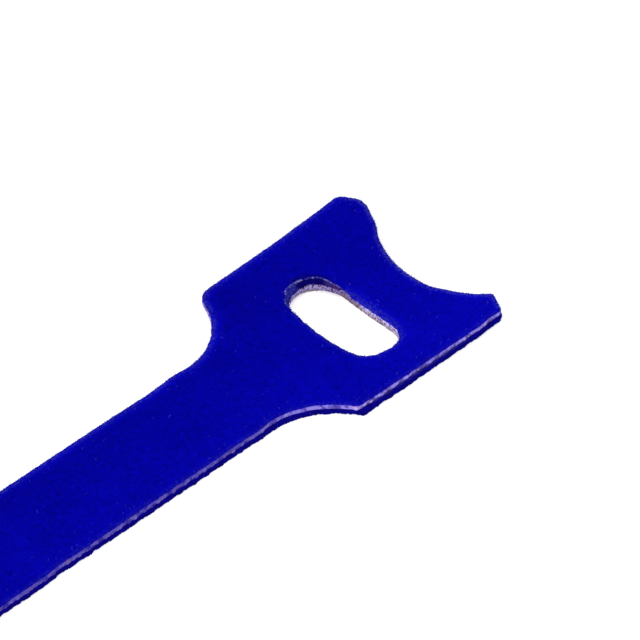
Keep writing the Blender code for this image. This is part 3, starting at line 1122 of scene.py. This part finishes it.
bend_fibres(fringe, pattern, over_the_edge, way_out, fibre_radius)
pale = chance.uniform(0, 1, count) > 1 - FRINGE_PALE_SHARE
tone = np.where(pale, chance.uniform(1.2, 1.8, count), chance.uniform(0, 0.9, count))
store(fringe, "tone", tone)
store_place(fringe, np.zeros(count), number)

# %% [markdown]
# Cut yarn ends
#
# The punch shears through the knitted ground, and each yarn's end swells into a small pale bead just
# below the blue. Larger and smaller ones take turns, and no two gaps are the same.

# %% A row of yarn ends
YARN_STEP = 0.55 * MM
YARN_GROOVES = 0.05 * MM
YARN_LEVEL = [(36.0, 0.10), (42.0, 0.28), (48.0, 0.28), (52.0, 0.20)]
YARN_DOWN_IN_LIP = 0.42
YARN_DOWN_FAR_WALL = 0.30


def yarn_shape():
    """A ball of radius 1 with few faces."""
    one = bmesh.new()
    bmesh.ops.create_uvsphere(one, u_segments=8, v_segments=5, radius=1.0)
    return one


yarn_look = Finish("cut_yarn")
spot = yarn_look.place()
strands = yarn_look.noise(yarn_look.stretch(spot, (1.0, 1.0, 0.35)), 0.12)
beaded = knit_ground(yarn_look, spot, yarn_look.attribute("bead"))
yarn_finish = yarn_look.feed(Base_Color=beaded, Normal=yarn_look.bump(strands, YARN_GROOVES))

chance = np.random.RandomState(51)
spots, number = cloth_cut.samples(YARN_STEP, chance)
count = len(spots)
yarn_ends, (u, v, w) = copies_of("cut_yarn_ends", yarn_shape(), count, yarn_finish)
large = np.clip(np.where(np.arange(count) % 2, 0.75, 0.25) + chance.normal(0, 0.4, count), 0, 1)
half_out = (0.02 + 0.06 * large[:, None]) * MM
half_along = (0.18 + 0.16 * large[:, None]) * MM
half_up = (0.10 + 0.18 * large[:, None]) * MM
level = np.interp(spots[:, 0] / MM, *zip(*YARN_LEVEL)) + 0.04 * chance.normal(0, 1, count)
level = level + 0.05 * ripples(*spots.T, 2.0 * MM, 15) * ~cloth_cut.on_slot[number]
level = level - YARN_DOWN_IN_LIP * lip_strength[number] - YARN_DOWN_FAR_WALL * far_wall[number]
level = PLY_JOINT + level[:, None] * MM
across = beside(*spots.T, cloth_cut.heading[number], u * half_out, v * half_along)
set_points(yarn_ends.data, as_points(*across, level + w * half_up))
store(yarn_ends, "bead", chance.uniform(0, 1, count))
store(yarn_ends, "wall_light", wall_light[number])
store(yarn_ends, "in_slot", cloth_cut.on_slot[number])

# %% [markdown]
# The crease
#
# Where the pressed lip bends away from the face, the pile parts and a broken pale line shows. The felt's
# colour gives the line, and a few loose pale hairs that lie along it break it up as on the real cloth.

# %% Pale hairs along the crease
CREASE_STEP = 0.42 * MM
CREASE_ARCH = 0.03 * MM
chance = np.random.RandomState(61)
spots, number = cloth_cut.samples(CREASE_STEP, chance)
in_crease = (lip_strength[number] > PRESSED) & (lip_width[number] > 0.2 * MM)
spots, number = spots[in_crease], number[in_crease]
back = lip_width[number] * chance.uniform(0.84, 1.14, len(spots))
spots = spots - cloth_cut.outward[number] * back[:, None]
count = len(spots)
crease_hairs, pattern = copies_of("crease_hairs", fibre_shape(), count, fibre_finish)
heading = cloth_cut.heading[number] + math.pi / 2 + chance.normal(0, 0.45, count)
reach = chance.uniform(0.15, 0.60, count) * MM
crease_level = TOP - PILE_DEPTH + chance.uniform(-0.02, 0.03, count) * MM


def along_crease(t):
    """A nearly straight hair that follows the crease and dips at both ends."""
    along = (t - 0.5) * reach[:, None]
    return *beside(*spots.T, heading, along), crease_level[:, None] + CREASE_ARCH * np.sin(math.pi * t)


bend_fibres(crease_hairs, pattern, along_crease, heading, chance.uniform(0.022, 0.040, count) * MM)
store(crease_hairs, "tone", chance.uniform(1.0, 1.7, count))
store_place(crease_hairs, np.full(count, 2 * MM), number)

# %% [markdown]
# Joining the pieces to the frame
#
# Every piece rides on the CAD's one body. The cloth stands for the CAD's loop fabric, with its fibres and
# yarn ends as pieces on it. The tape and its hooks stand for the CAD's hook tape.

# %% Ride and replace
on_the_cloth = [*pile_pieces, fringe, yarn_ends, crease_hairs]
for piece in (cloth, *on_the_cloth):
    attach(piece, "root")
for piece in (tape_sheet, hooks, cut_hooks):
    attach(piece, "root")
    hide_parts("hook_tape")
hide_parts("loop_fabric")
